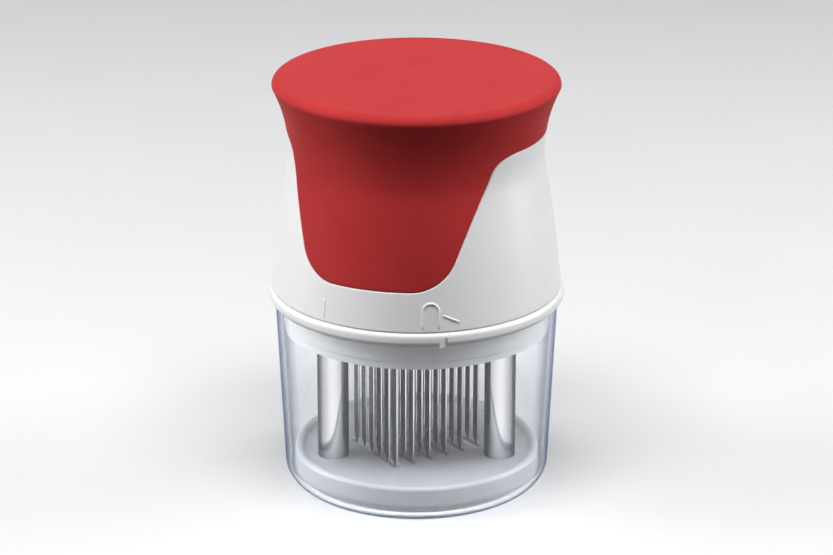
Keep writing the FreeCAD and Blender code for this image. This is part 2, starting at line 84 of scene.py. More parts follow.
GUARD_LOW, GUARD_HIGH = height_span("guard_plate")
GUARD_R = 41.3 * MM
GUARD_FLOOR = 3.6 * MM
GUARD_WALL = 2.9 * MM
GUARD_FOOT = 3.8 * MM
GUARD_CORNER = 4.0 * MM
GUARD_LIP = GUARD_WALL / 2 - 0.02 * MM
GUARD_INNER_ROUND = 1.0 * MM
GUARD_FOOT_ROOT = 0.5 * MM
GUARD_FOOT_ROUND = 0.4 * MM

POST_R = 5.2 * MM
POST_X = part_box("guide_post_right")[0].x + POST_R
POST_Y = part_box("guide_post_right")[0].y + POST_R
POST_LOW, POST_HIGH = height_span("guide_post_right")
POST_SHOULDER = height_span("stop_ring_right")[0]
POST_SPIGOT_R = 3.9 * MM
POST_ROUND = 0.4 * MM

SPRING_LOW, SPRING_HIGH = height_span("return_spring_right")
SPRING_R = half_width("return_spring_right")
SPRING_WIRE = 1.1 * MM
SPRING_TURNS = 10

STRIP_ANGLE = math.radians(-57.0)
STRIP_PITCH = 6.5 * MM
STRIPS = 6
STRIPS_BACK = 2.0 * MM
HEADER = 5.4 * MM
BLADES = 6
BLADE_PITCH = 4.8 * MM
BLADE_W = 3.0 * MM
BLADE_T = 0.6 * MM
BLADE_POINT = 3.2 * MM
BLADE_ROOT = 0.3 * MM           # how far a blade reaches into its bar
BLADE_NECK = 6.0 * MM           # from the bar down to the first section of a blade
BLADE_CHAMFER = 0.14 * MM
BLADE_BEVEL = 0.62              # share of the half thickness that an edge's bevel takes
BLADE_TIP, STRIP_TOP = height_span("blade_strip_1")
STRIP_HALF = (BLADES - 1) * BLADE_PITCH / 2 + BLADE_W / 2
ALONG = Vector((math.cos(STRIP_ANGLE), math.sin(STRIP_ANGLE), 0))
ACROSS = Vector((-ALONG.y, ALONG.x, 0))
# Ground point of a blade: height above its tip, share of the width, share of the thickness
POINT_SECTIONS = ((BLADE_POINT, 1.0, 1.0), (BLADE_POINT * 0.93, 0.94, 0.92),
                  (0.15 * MM, 0.10, 0.30), (0.0, 0.03, 0.12))

SLOT_END_GAP = 0.8 * MM
SLOT_SIDE_GAP = 0.4 * MM
SLOT_FLARE = 0.3 * MM
CUT_ABOVE = 0.01 * MM           # how far a cutter stands above the face that it opens

CARRIER_LOW, LUG_TOP = height_span("blade_carrier")
CARRIER_FLOOR = 3.0 * MM
CARRIER_EDGE = 0.35 * MM
SEAM = CUP_TOP + 4.7 * MM
BEAD_R = 49.0 * MM
BEAD_SLOPE = 1.5 * MM           # the bead's lower edge is cut back by this, both ways
BEAD_ROOT_ROUND = 0.3 * MM
BEAD_LOW_ROUND = 1.3 * MM
BEAD_TOP_ROUND = 1.4 * MM
SKIRT_R = 44.4 * MM
SKIRT_STEP = 0.6 * MM
SKIRT_STEP_Z = CARRIER_LOW + 2.6 * MM
COLLAR_R = 43.5 * MM
COLLAR_WALL = 2.0 * MM

NUB_ANGLE = math.radians(9.6)
NUB_HALF = 1.05                 # degrees
NUB_NOTCH_END = 2.1             # degrees: the notch beside the nub ends here
NUB_HEIGHT = 3.2 * MM
NUB_INSET = 0.02 * MM
NUB_NOTCH = 0.8 * MM
NUB_START = 0.5 * MM            # the nub starts this far outside the skirt
NUB_FROM, NUB_TO = -3, 4        # degrees: the mesh is finer between these
NUB_STEPS = 8                   # steps in a degree there

FOOT_Z, SHELF_TOP = height_span("housing")
TOP_Z = height_span("grip")[1]
FOOT_R = 48.0 * MM
FOOT_ROUND = 0.5 * MM
HOUSING_WALL = 2.0 * MM
SHELF_T = 2.0 * MM
SHELF_R = 30.2 * MM
RECESS_GAP = 0.05 * MM          # between the grip's back and the housing's recess
THIN_WALL_BELOW = 3.0 * MM      # the wall has no recess from here down, below a tongue's foot
PALM_R = 47.1 * MM
PALM_EDGE = 2.6 * MM
PALM_T = 2.4 * MM
FLANGE_Z = TOP_Z - PALM_EDGE
WAIST_Z = TOP_Z - 24.5 * MM
WAIST_R = 42.0 * MM
BODY_CURVE = 500.0 * MM
NECK_CURVE = 30.0 * MM
GRIP_T = 2.2 * MM

TONGUE_ANGLE = math.radians(-18.5)
TONGUE_FOOT_Z = FOOT_Z + 13.1 * MM
TONGUE_FOOT_HALF = 22.7 * MM
TONGUE_FOOT_ROUND = 13.0 * MM
TONGUE_LINE_Z = TOP_Z - 17.2 * MM
TONGUE_TOP_HALF = 35.2 * MM
TONGUE_TOP_ROUND = 7.0 * MM
SEAM_ROLL = 0.35 * MM
SEAM_GAP = 0.12 * MM

# Raised signs on the housing. An angle is from the front towards +X.
SIGN_LOW = FOOT_Z + 1.4 * MM
SIGN_LINE = 0.9 * MM
SIGN_LIFT = 0.4 * MM
ARCH_ANGLE = math.radians(5.5)
ARCH_HALF = 2.65 * MM
ARCH_HEIGHT = 8.2 * MM
BAR_ANGLE = math.radians(13.5)
BAR_RISE = 2.9 * MM
BAR_HALF = 2.7 * MM
BAR_LINE = 0.7 * MM
BAR_SLOPE = math.tan(math.radians(25))
OPEN_ANGLE = math.radians(-38.5)
OPEN_HEIGHT = 6.2 * MM
OPEN_LIFT = 0.15 * MM
SIGN_END = 0.55                 # share of its size that a sign's line keeps at its ends
SIGN_SIDES = 8
ARCH_LEG_STEPS, ARCH_TOP_STEPS, BAR_POINTS, OPEN_STEPS = 6, 16, 8, 8

# Number of steps in each mesh
CUP_SIDES, GUARD_SIDES, CARRIER_SIDES, POST_SIDES = 320, 256, 240, 96
WIRE_SIDES, TURN_STEPS = 10, 36
FOOT_STEPS, FOOT_ROUND_STEPS, SIDE_STEPS, TOP_ROUND_STEPS, LINE_STEPS = 14, 24, 26, 14, 12
ROLL_STEPS, PALM_EDGE_STEPS, HOUSING_FOOT_STEPS = 4, 8, 4
GRIP_OUTER_STEPS, GRIP_INNER_STEPS = 46, 24
HOUSING_OUTER_STEPS, RECESS_STEPS, HOUSING_INNER_RINGS = 40, 18, 24
PALM_SHARES = (0.12, 0.3, 0.5, 0.7, 0.85, 0.94, 0.985)
CEILING_SHARES = (1.0, 0.8, 0.5, 0.2)

# =============================================================================================
# Colours and light. A pair of tones is the darker and the lighter end of a noise pattern,
# except where a comment says that a pair is painted light or shade.
# =============================================================================================
RED = (0.44, 0.032, 0.034), (0.48, 0.037, 0.039)
RED_SHEEN = (1.0, 0.36, 0.36, 1.0)
WHITE = (0.83, 0.832, 0.835), (0.86, 0.86, 0.862)
GUARD_GREY = (0.44, 0.445, 0.475), (0.48, 0.485, 0.515)
INNER_TONE, BUSH_TONE, INNER_TONE_SPAN = 0.55, 0.72, 0.06
# Tint of the cup where it faces the ray, and the deeper painted shade towards its outline
CLEAR_TO_PAINTED_EDGE_TINT = (0.98, 0.987, 1.0), (0.84, 0.90, 0.98)
# Painted shade: the slate band along the cup's outline
PAINTED_OUTLINE_SHADE = (0.42, 0.49, 0.63)
CLEAR_SHADOW = (0.95, 0.965, 0.98)
# Chrome's tone where it faces the ray, and the painted dark reflection at its outline
CHROME_PAINTED_EDGE_DARK = (0.84, 0.84, 0.85), (0.07, 0.07, 0.075)
# Painted shade on the blades' faces and painted highlight on their narrow edges
BLADE_SHADE_AND_HIGHLIGHT = (0.13, 0.135, 0.14), (0.92, 0.92, 0.93)
SPRING_TONE = (0.50, 0.50, 0.51)
SCREW_TONE = (0.58, 0.58, 0.59)
# Dark tint of the metals' reflection at grazing angles: painted shade along their outlines
METAL_GRAZE_PAINTED_DARK = (0.30, 0.31, 0.33, 1.0)
METAL_DARKER = 0.93
FLOOR_PALE = (0.78, 0.785, 0.79), (0.80, 0.80, 0.805)
FLOOR_BOUNCE = (0.10, 0.10, 0.10)   # the floor's tone in the light that it throws back
NOISE_LOW, NOISE_HIGH = 0.3, 0.7    # range of the noise that a pair of tones covers
MICRON = 0.000001

# Place from the front (0) to the back (1) of the room, and its tone there
WORLD_TONES = ((0.0, (0.05, 0.05, 0.052)), (0.35, (0.08, 0.08, 0.083)),
               (1.0, (0.40, 0.41, 0.42)))
# Name, place, aim, width, height and power of each lamp
LIGHTS = (
    ("top", (0.0, -0.45, 1.35), (0, 0, 0.14), 1.2, 0.5, 19),
    ("left", (-1.15, 0.05, 0.45), (0, 0, 0.09), 0.5, 0.9, 10.5),
    ("right", (1.15, 0.10, 0.45), (0, 0, 0.09), 0.5, 0.9, 8.5),
    ("front", (0.25, -1.10, 0.20), (0, 0, 0.05), 0.7, 0.3, 0.4),
)
FLOOR_FRONT, FLOOR_WIDTH = -3.0, 6.0
BACKDROP_Y, BACKDROP_BEND, BACKDROP_HEIGHT, BACKDROP_STEPS = 2.4, 0.9, 3.2, 16
CAMERA_ELEVATION = math.radians(20.4)
CAMERA_DISTANCE = 1.0
CAMERA_AIM = Vector((0, 0, 0.070))
CAMERA_SENSOR, CAMERA_LENS = 36.0, 130.0


# =============================================================================================
# Mesh helpers
# =============================================================================================
def make_object(name, verts, faces, slot, body, replaces=()):
    """Piece with its normals outwards, in the material of its slot, riding on its body."""
    mesh = bpy.data.meshes.new(name)
    mesh.from_pydata([tuple(v) for v in verts], [], faces)
    mesh.validate()
    mesh.update()
    bm = bmesh.new()
    bm.from_mesh(mesh)
    bmesh.ops.remove_doubles(bm, verts=bm.verts, dist=1e-7)
    bmesh.ops.recalc_face_normals(bm, faces=bm.faces)
    bm.to_mesh(mesh)
    bm.free()
    mesh.shade_smooth()
    mesh.materials.append(MATERIALS[slot])
    obj = bpy.data.objects.new(name, mesh)
    bpy.context.scene.collection.objects.link(obj)
    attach(obj, body)
    if replaces:
        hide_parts(*replaces)
    return obj


def keep_flats(obj):
    """Weighted normals, so that flat faces stay flat beside small rounds."""
    obj.modifiers.new("flats", "WEIGHTED_NORMAL").keep_sharp = True


def grid(rows, start_pole=None, end_pole=None, loop=False):
    """Faces over closed rings of equal length. A pole closes the first or last ring.
    loop joins the last ring to the first."""
    count = len(rows[0])
    verts = [p for row in rows for p in row]
    faces = []
    pairs = list(zip(range(len(rows) - 1), range(1, len(rows))))
    if loop:
        pairs.append((len(rows) - 1, 0))
    for a, b in pairs:
        for k in range(count):
            n = (k + 1) % count
            faces.append((a * count + k, a * count + n, b * count + n, b * count + k))
    for pole, row, turn in ((start_pole, 0, 1), (end_pole, len(rows) - 1, -1)):
        if pole is None:
            continue
        verts.append(pole)
        middle = len(verts) - 1
        for k in range(count):
            n = (k + 1) % count
            ring = (row * count + n, row * count + k)
            faces.append((middle, *ring[::turn]))
    return verts, faces


def rounded(corners, steps=5):
    """Points of a profile (r, z). Each corner is (r, z) or (r, z, radius)."""
    points = []
    count = len(corners)
    for i, corner in enumerate(corners):
        here = Vector(corner[:2])
        radius = corner[2] if len(corner) > 2 else 0
        if radius == 0:
            points.append(tuple(here))
            continue
        before = (Vector(corners[i - 1][:2]) - here).normalized()
        after = (Vector(corners[(i + 1) % count][:2]) - here).normalized()
        half = before.angle(after) / 2
        middle = here + (before + after).normalized() * (radius / math.sin(half))
        first = here + before * (radius / math.tan(half)) - middle
        turn = first.angle_signed(here + after * (radius / math.tan(half)) - middle)
        for k in range(steps + 1):
            spin = Matrix.Rotation(-turn * k / steps, 2)
            points.append(tuple(middle + spin @ first))
    return points


def on_circle(r, angle, z):
    """Point at an angle from the front towards +X."""
    return (r * math.sin(angle), -r * math.cos(angle), z)


def lathe(profile, angles):
    """Rings of a closed profile (r, z) turned about the Z axis."""
    return [[on_circle(r, a, z) for a in angles] for r, z in profile]


def full_turn(count):
    return [2 * math.pi * k / count for k in range(count)]


def block(centre, half_along, half_across, z0, z1, flare=0.0):
    """Box along a blade strip. With a flare, its top edge widens by that at 45 degrees."""
    levels = [(z0, 0), (z1 - flare, 0), (z1, flare)] if flare else [(z0, 0), (z1, 0)]
    verts = []
    for z, grow in levels:
        for s, t in ((-1, -1), (1, -1), (1, 1), (-1, 1)):
            p = centre + ALONG * (s * (half_along + grow)) + ACROSS * (t * (half_across + grow))
            verts.append((p.x, p.y, z))
    faces = [(3, 2, 1, 0)]
    for level in range(len(levels) - 1):
        base = 4 * level
        for k in range(4):
            n = (k + 1) % 4
            faces.append((base + k, base + n, base + 4 + n, base + 4 + k))
    last = 4 * (len(levels) - 1)
    faces.append((last, last + 1, last + 2, last + 3))
    return verts, faces


def joined(parts):
    """One list of vertices and faces from several."""
    verts, faces = [], []
    for part_verts, part_faces in parts:
        base = len(verts)
        verts += list(part_verts)
        faces += [tuple(base + i for i in face) for face in part_faces]
    return verts, faces


def cut(obj, parts):
    """Cuts closed parts out of obj's mesh."""
    verts, faces = joined(parts)
    mesh = bpy.data.meshes.new("cutter")
    mesh.from_pydata([tuple(v) for v in verts], [], faces)
    cutter = bpy.data.objects.new("cutter", mesh)
    bpy.context.scene.collection.objects.link(cutter)
    modifier = obj.modifiers.new("cut", "BOOLEAN")
    modifier.operation = "DIFFERENCE"
    modifier.solver = "EXACT"
    modifier.object = cutter
    graph = bpy.context.evaluated_depsgraph_get()
    result = bpy.data.meshes.new_from_object(obj.evaluated_get(graph), depsgraph=graph)
    obj.modifiers.clear()
    obj.data = result
    obj.data.shade_smooth()
    bpy.data.objects.remove(cutter)


def strip_centres():
    for k in range(STRIPS):
        yield Vector((0, STRIPS_BACK, 0)) + ACROSS * ((k - (STRIPS - 1) / 2) * STRIP_PITCH)


def blade_places():
    for k in range(BLADES):
        yield (k - (BLADES - 1) / 2) * BLADE_PITCH


# =============================================================================================
# Materials
# =============================================================================================
class Look:
    """A Principled material with a few helpers for its patterns, placed in object space."""

    def __init__(self, name):
        self.material = bpy.data.materials.new(name)
        self.material.use_nodes = True
        self.tree = self.material.node_tree
        self.shader = self.tree.nodes["Principled BSDF"]
        self.coords = self.tree.nodes.new("ShaderNodeTexCoord")

    def node(self, kind, **values):
        made = self.tree.nodes.new(kind)
        for key, value in values.items():
            setattr(made, key, value)
        return made

    def link(self, source, target):
        self.tree.links.new(source, target)

    def set(self, **sockets):
        for key, value in sockets.items():
            self.shader.inputs[key.replace("_", " ")].default_value = value

    def noise(self, scale, detail, stretch=(1, 1, 1)):
        mapping = self.node("ShaderNodeMapping")
        mapping.inputs["Scale"].default_value = stretch
        self.link(self.coords.outputs["Object"], mapping.inputs["Vector"])
        noise = self.node("ShaderNodeTexNoise")
        noise.inputs["Scale"].default_value = scale
        noise.inputs["Detail"].default_value = detail
        self.link(mapping.outputs["Vector"], noise.inputs["Vector"])
        return noise.outputs["Fac"]

    def facing(self):
        """0 where the surface faces the ray, towards 1 at its outline."""
        edge = self.node("ShaderNodeLayerWeight")
        edge.inputs["Blend"].default_value = 0.5
        return edge.outputs["Facing"]

    def ramp(self, source, a, b, low=NOISE_LOW, high=NOISE_HIGH):
        """source from low to high becomes colour or value a to b."""
        ramp = self.node("ShaderNodeValToRGB")
        ramp.color_ramp.elements[0].position = low
        ramp.color_ramp.elements[1].position = high
        for element, value in zip(ramp.color_ramp.elements, (a, b)):
            rgb = value if isinstance(value, tuple) else (value, value, value)
            element.color = (*rgb, 1)
        self.link(source, ramp.inputs["Fac"])
        return ramp.outputs["Color"]

    def colour(self, source, a, b, low=NOISE_LOW, high=NOISE_HIGH):
        self.link(self.ramp(source, a, b, low, high), self.shader.inputs["Base Color"])

    def roughness(self, source, a, b):
        self.link(self.ramp(source, a, b), self.shader.inputs["Roughness"])

    def bump(self, *layers):
        """Each layer is (height source, distance in metres, strength)."""
        normal = None
        for source, distance, strength in layers:
            bump = self.node("ShaderNodeBump")
            bump.inputs["Distance"].default_value = distance
            bump.inputs["Strength"].default_value = strength
            self.link(source, bump.inputs["Height"])
            if normal is not None:
                self.link(normal, bump.inputs["Normal"])
            normal = bump.outputs["Normal"]
        self.link(normal, self.shader.inputs["Normal"])


def soft_red(name):
    """Soft-touch rubber: matt, with a sheen and a fine grain."""
    look = Look(name)
    look.colour(look.noise(60, detail=4), *RED)
    look.roughness(look.noise(900, detail=2), 0.58, 0.66)
    look.set(Specular_IOR_Level=0.04, IOR=1.45, Sheen_Weight=0.36, Sheen_Roughness=0.32,
             Sheen_Tint=RED_SHEEN)
    look.bump((look.noise(4200, detail=2), 30 * MICRON, 0.5),
              (look.noise(140, detail=2), 200 * MICRON, 0.05))
    return look.material


def white_plastic(name):
    look = Look(name)
    look.colour(look.noise(35, detail=3), *WHITE)
    look.roughness(look.noise(300, detail=3), 0.28, 0.36)
    look.set(IOR=1.5, Specular_IOR_Level=0.4)
    look.bump((look.noise(1800, detail=2), 10 * MICRON, 0.3),
              (look.noise(60, detail=2), 200 * MICRON, 0.03))
    return look.material


def guard_plastic(name):
    look = Look(name)
    look.colour(look.noise(50, detail=3), *GUARD_GREY)
    look.roughness(look.noise(260, detail=3), 0.30, 0.42)
    look.bump((look.noise(1500, detail=2), 10 * MICRON, 0.3))
    return look.material


def inner_plastic(name, tone):
    look = Look(name)
    look.colour(look.noise(80, detail=3), tone, tone + INNER_TONE_SPAN)
    look.roughness(look.noise(400, detail=3), 0.5, 0.62)
    look.bump((look.noise(1600, detail=2), 20 * MICRON, 0.4))
    return look.material


def clear_plastic(name):
    """Clear polished plastic. Lamps shine through it, so that what is inside is lit. Towards
    its outline a deeper tint and then a slate band are painted on as shade, by the angle at
    which it is seen."""
    look = Look(name)
    look.set(IOR=1.49, Transmission_Weight=1.0)
    facing = look.facing()
    # The tint deepens towards the outline as painted shade
    look.colour(facing, *CLEAR_TO_PAINTED_EDGE_TINT, low=0.30, high=0.68)
    look.roughness(look.noise(120, detail=2), 0.0, 0.02)

    def mixed(factor, base, colour):
        through = look.node("ShaderNodeBsdfTransparent")
        through.inputs["Color"].default_value = (*colour, 1)
        mix = look.node("ShaderNodeMixShader")
        look.link(factor, mix.inputs["Fac"])
        look.link(base, mix.inputs[1])
        look.link(through.outputs["BSDF"], mix.inputs[2])
        return mix.outputs["Shader"]

    # Painted shade: a slate band along the outline takes the place of the glass there
    outline = look.ramp(facing, 0.0, 0.85, low=0.62, high=0.86)
    surface = mixed(outline, look.shader.outputs["BSDF"], PAINTED_OUTLINE_SHADE)
    path = look.node("ShaderNodeLightPath")
    surface = mixed(path.outputs["Is Shadow Ray"], surface, CLEAR_SHADOW)
    look.link(surface, look.tree.nodes["Material Output"].inputs["Surface"])
    return look.material


def metal(name, rough, grain, stretch, depth):
    """Metal with drawn lines, still without its colour."""
    look = Look(name)
    lines = look.noise(grain, detail=3, stretch=stretch)
    look.roughness(lines, *rough)
    # The dark grazing tint paints shade along every metal's outline
    look.set(Metallic=1.0, Specular_Tint=METAL_GRAZE_PAINTED_DARK)
    look.bump((lines, depth, 0.25))
    return look


def plain_metal(name, tone, rough, stretch):
    look = metal(name, rough, 900, stretch, 6 * MICRON)
    look.colour(look.noise(90, detail=3), tuple(METAL_DARKER * c for c in tone), tone)
    return look.material


def chrome(name):
    """Polished plating, with a painted dark reflection that deepens towards its outline."""
    look = metal(name, (0.06, 0.10), 700, (1, 1, 0.03), 4 * MICRON)
    # Painted reflection: bright where the post faces the ray, dark towards its outline
    look.colour(look.facing(), *CHROME_PAINTED_EDGE_DARK, low=0.08, high=0.46)
    return look.material


def blade_steel(name):
    """Rolled faces painted dark as shade between the close blades, and narrow sheared edges
    painted bright as highlights.
    """
    look = metal(name, (0.16, 0.28), 900, (1, 1, 0.04), 6 * MICRON)
    facing = look.node("ShaderNodeVectorMath", operation="DOT_PRODUCT")
    look.link(look.coords.outputs["Normal"], facing.inputs[0])
    facing.inputs[1].default_value = ALONG
    size = look.node("ShaderNodeMath", operation="ABSOLUTE")
    look.link(facing.outputs["Value"], size.inputs[0])
    # Faces that turn across the strip get painted shade, the narrow edges a painted highlight
    look.colour(size.outputs["Value"], *BLADE_SHADE_AND_HIGHLIGHT, low=0.25, high=0.7)
    return look.material


MATERIALS = {
    "soft_red": soft_red("soft_red"),
    "white_plastic": white_plastic("white_plastic"),
    "guard_plastic": guard_plastic("guard_plastic"),
    "inner_plastic": inner_plastic("inner_plastic", INNER_TONE),
    "bush_plastic": inner_plastic("bush_plastic", BUSH_TONE),
    "clear_plastic": clear_plastic("clear_plastic"),
    "chrome": chrome("chrome"),
    "blade_steel": blade_steel("blade_steel"),
    "spring_steel": plain_metal("spring_steel", SPRING_TONE, (0.25, 0.35), (1, 1, 0.2)),
    "screw_steel": plain_metal("screw_steel", SCREW_TONE, (0.22, 0.34), (1, 1, 1)),
}
SLOTS = {part["node"]: part["material_slot"] for part in frame["record"]["subparts"]}


# =============================================================================================
# Handle: grip and housing
# =============================================================================================
def side_centre():
    """Centre of the side's arc, from the foot and tangent to the neck's arc: (r, z)."""
    dr, dz = WAIST_R + NECK_CURVE - FOOT_R, WAIST_Z - FOOT_Z
    reach = math.hypot(dr, dz)
    far = BODY_CURVE + NECK_CURVE
    aim = math.atan2(dz, dr) + math.acos(
        (BODY_CURVE ** 2 + reach ** 2 - far ** 2) / (2 * BODY_CURVE * reach))
    return FOOT_R + BODY_CURVE * math.cos(aim), FOOT_Z + BODY_CURVE * math.sin(aim)


SIDE_R, SIDE_Z = side_centre()
NECK_Z = WAIST_Z + (SIDE_Z - WAIST_Z) * NECK_CURVE / (BODY_CURVE + NECK_CURVE)
FLARE_CURVE = ((FLANGE_Z - WAIST_Z) ** 2 + (PALM_R - WAIST_R) ** 2) / (2 * (PALM_R - WAIST_R))


def handle_radius(z):
    """Outer radius of the handle at a height: bowed side, neck curve, then flare."""
    if z <= NECK_Z:
        return SIDE_R + math.sqrt(BODY_CURVE ** 2 - (z - SIDE_Z) ** 2)
    curve = NECK_CURVE if z < WAIST_Z else FLARE_CURVE
    rise = min(z, FLANGE_Z) - WAIST_Z
    return WAIST_R + curve - math.sqrt(curve ** 2 - rise ** 2)


def on_handle(angle, z, depth=0.0):
    """Point of the handle's surface. The angle is from the tongue's centre towards +X."""
    return on_circle(handle_radius(z) - depth, angle + TONGUE_ANGLE, z)


def flat_ring(r, z, outline):
    """Ring at one radius and height, with its points at the angles of an outline."""
    return [on_circle(r, a + TONGUE_ANGLE, z) for a, _ in outline]


def quarter_outline(grow):
    """A quarter of the tongues' outline as (angle, z): from a tongue's foot up to the line
    where the flare starts. grow moves it outwards from the grip."""
    foot_z = TONGUE_FOOT_Z - grow
    line_z = TONGUE_LINE_Z - grow
    corner_a = Vector((TONGUE_FOOT_HALF + grow, foot_z))
    corner_b = Vector((TONGUE_TOP_HALF + grow, line_z))
    side = (corner_b - corner_a).normalized()
    turn = side.angle(Vector((1, 0)))
    radius_a, radius_b = TONGUE_FOOT_ROUND + grow, TONGUE_TOP_ROUND - grow
    reach_a = radius_a * math.tan(turn / 2)
    reach_b = radius_b * math.tan(turn / 2)
    start_a = corner_a - Vector((reach_a, 0))
    centre_a = start_a + Vector((0, radius_a))
    end_a = corner_a + side * reach_a
    start_b = corner_b - side * reach_b
    end_b = corner_b + Vector((reach_b, 0))
    centre_b = end_b - Vector((0, radius_b))
    flat = []
    for k in range(FOOT_STEPS):
        flat.append(Vector((0, foot_z)).lerp(start_a, k / FOOT_STEPS))
    for k in range(FOOT_ROUND_STEPS):
        a = turn * k / FOOT_ROUND_STEPS
        flat.append(centre_a + radius_a * Vector((math.sin(a), -math.cos(a))))
    for k in range(SIDE_STEPS):
        flat.append(end_a.lerp(start_b, k / SIDE_STEPS))
    for k in range(TOP_ROUND_STEPS):
        a = turn * (1 - k / TOP_ROUND_STEPS)
        flat.append(centre_b + radius_b * Vector((-math.sin(a), math.cos(a))))
    points = [(math.asin(min(1.0, p.x / handle_radius(p.y))), p.y) for p in flat]
    last = math.asin(end_b.x / handle_radius(line_z))
    for k in range(LINE_STEPS + 1):
        points.append((last + (math.pi / 2 - last) * k / LINE_STEPS, line_z))
    return points


def whole_outline(grow):
    """The outline of both tongues, once round the handle."""
    quarter = quarter_outline(grow)
    ring = list(quarter)
    ring += [(math.pi - a, z) for a, z in reversed(quarter[:-1])]
    ring += [(math.pi + a, z) for a, z in quarter[1:]]
    ring += [(2 * math.pi - a, z) for a, z in reversed(quarter[1:-1])]
    return ring


def rolled_edge(side):
    """Rings that roll over the edge at the seam, for the grip (-1) or the housing (+1)."""
    rings = []
    for k in range(ROLL_STEPS + 1):
        a = math.pi / 2 * k / ROLL_STEPS
        reach = SEAM_ROLL * (1 - math.sin(a)) + (SEAM_GAP if side > 0 else 0)
        depth = SEAM_ROLL * (1 - math.cos(a))
        rings.append([on_handle(t, z, depth) for t, z in whole_outline(side * reach)])
    return rings


def make_grip():
    """Palm disc, flare and two tongues, as one shell."""
    edge = whole_outline(-SEAM_ROLL)
    foot = whole_outline(0)
    flat_r = PALM_R - PALM_EDGE
    rows = [flat_ring(flat_r * share, TOP_Z, edge) for share in PALM_SHARES]
    for k in range(PALM_EDGE_STEPS + 1):
        a = math.pi / 2 * k / PALM_EDGE_STEPS
        rows.append(flat_ring(flat_r + PALM_EDGE * math.sin(a),
                              FLANGE_Z + PALM_EDGE * math.cos(a), edge))
    for k in range(1, GRIP_OUTER_STEPS):
        share = k / GRIP_OUTER_STEPS
        rows.append([on_handle(a, FLANGE_Z + (z - FLANGE_Z) * share) for a, z in edge])
    rows += rolled_edge(-1)
    for k in range(GRIP_INNER_STEPS + 1):
        share = k / GRIP_INNER_STEPS
        rows.append([on_handle(a, z + (FLANGE_Z - z) * share, GRIP_T) for a, z in foot])
    ceiling = TOP_Z - PALM_T
    rows += [flat_ring((PALM_R - GRIP_T) * share, ceiling, foot) for share in CEILING_SHARES]
    verts, faces = grid(rows, (0, 0, TOP_Z), (0, 0, ceiling))
    make_object("soft_grip", verts, faces, "soft_red", "housing_unit", ["grip"])


def make_housing():
    """Cone with a recess for the grip, and a shelf inside at its top."""
    edge = whole_outline(SEAM_GAP + SEAM_ROLL)
    recess = whole_outline(SEAM_GAP)
    rows = []
    for k in range(HOUSING_FOOT_STEPS + 1):
        a = math.pi / 2 * k / HOUSING_FOOT_STEPS
        rise, depth = FOOT_ROUND * (1 - math.cos(a)), FOOT_ROUND * (1 - math.sin(a))
        rows.append([on_handle(t, FOOT_Z + rise, depth) for t, _ in edge])
    low = FOOT_Z + FOOT_ROUND
    for k in range(1, HOUSING_OUTER_STEPS):
        share = k / HOUSING_OUTER_STEPS
        rows.append([on_handle(t, low + (z - low) * share) for t, z in edge])
    rows += rolled_edge(1)
    deep = GRIP_T + RECESS_GAP
    for k in range(RECESS_STEPS + 1):
        share = k / RECESS_STEPS
        rows.append([on_handle(t, z + (SHELF_TOP - z) * share, deep) for t, z in recess])
    shelf_low = SHELF_TOP - SHELF_T
    rows.append(flat_ring(SHELF_R, SHELF_TOP, recess))
    rows.append(flat_ring(SHELF_R, shelf_low, recess))
    for z in np.linspace(shelf_low, FOOT_Z, HOUSING_INNER_RINGS):
        thin = z < TONGUE_FOOT_Z - THIN_WALL_BELOW
        depth = HOUSING_WALL if thin else deep + HOUSING_WALL
        rows.append([on_handle(t, float(z), depth) for t, _ in recess])
    verts, faces = grid(rows, loop=True)
    make_object("housing_shell", verts, faces, "white_plastic", "housing_unit", ["housing"])


def relief(path, width, height):
    """Raised line on the handle. Its path is (arc length from the front, z), in metres."""
    rows = []
    for i, (s, z) in enumerate(path):
        before = Vector(path[max(i - 1, 0)])
        after = Vector(path[min(i + 1, len(path) - 1)])
        run = (after - before).normalized()
        side = Vector((-run.y, run.x))
        share = SIGN_END if i in (0, len(path) - 1) else 1.0
        ring = []
        for a in full_turn(SIGN_SIDES):
            off = side * (math.cos(a) * width / 2 * share)
            lift = math.sin(a) * height * share
            u, v = s + off.x, z + off.y
            ring.append(on_circle(handle_radius(v) + lift, u / FOOT_R, v))
        rows.append(ring)
    first = tuple(np.mean(rows[0], axis=0))
    last = tuple(np.mean(rows[-1], axis=0))
    return grid(rows, first, last)


def make_lock_marks():
    """Raised padlock arch, slanted bar, and line at the open position."""
    low, half = SIGN_LOW, ARCH_HALF
    top = low + ARCH_HEIGHT - half
    mark = ARCH_ANGLE * FOOT_R
    leg = [low + (top - low) * k / ARCH_LEG_STEPS for k in range(ARCH_LEG_STEPS)]
    turn = [math.pi * k / ARCH_TOP_STEPS for k in range(ARCH_TOP_STEPS + 1)]
    arch = [(mark - half, z) for z in leg]
    arch += [(mark - half * math.cos(a), top + half * math.sin(a)) for a in turn]
    arch += [(mark + half, z) for z in reversed(leg)]
    bar_mid, bar_z = BAR_ANGLE * FOOT_R, low + BAR_RISE
    bar = [(bar_mid + x, bar_z - x * BAR_SLOPE)
           for x in np.linspace(-BAR_HALF, BAR_HALF, BAR_POINTS)]
    line = [(OPEN_ANGLE * FOOT_R, low + OPEN_HEIGHT * k / OPEN_STEPS)
            for k in range(OPEN_STEPS + 1)]
    verts, faces = joined([relief(arch, SIGN_LINE, SIGN_LIFT), relief(bar, BAR_LINE, SIGN_LIFT),
                           relief(line, SIGN_LINE, OPEN_LIFT)])
    make_object("lock_marks", verts, faces, "white_plastic", "housing_unit")


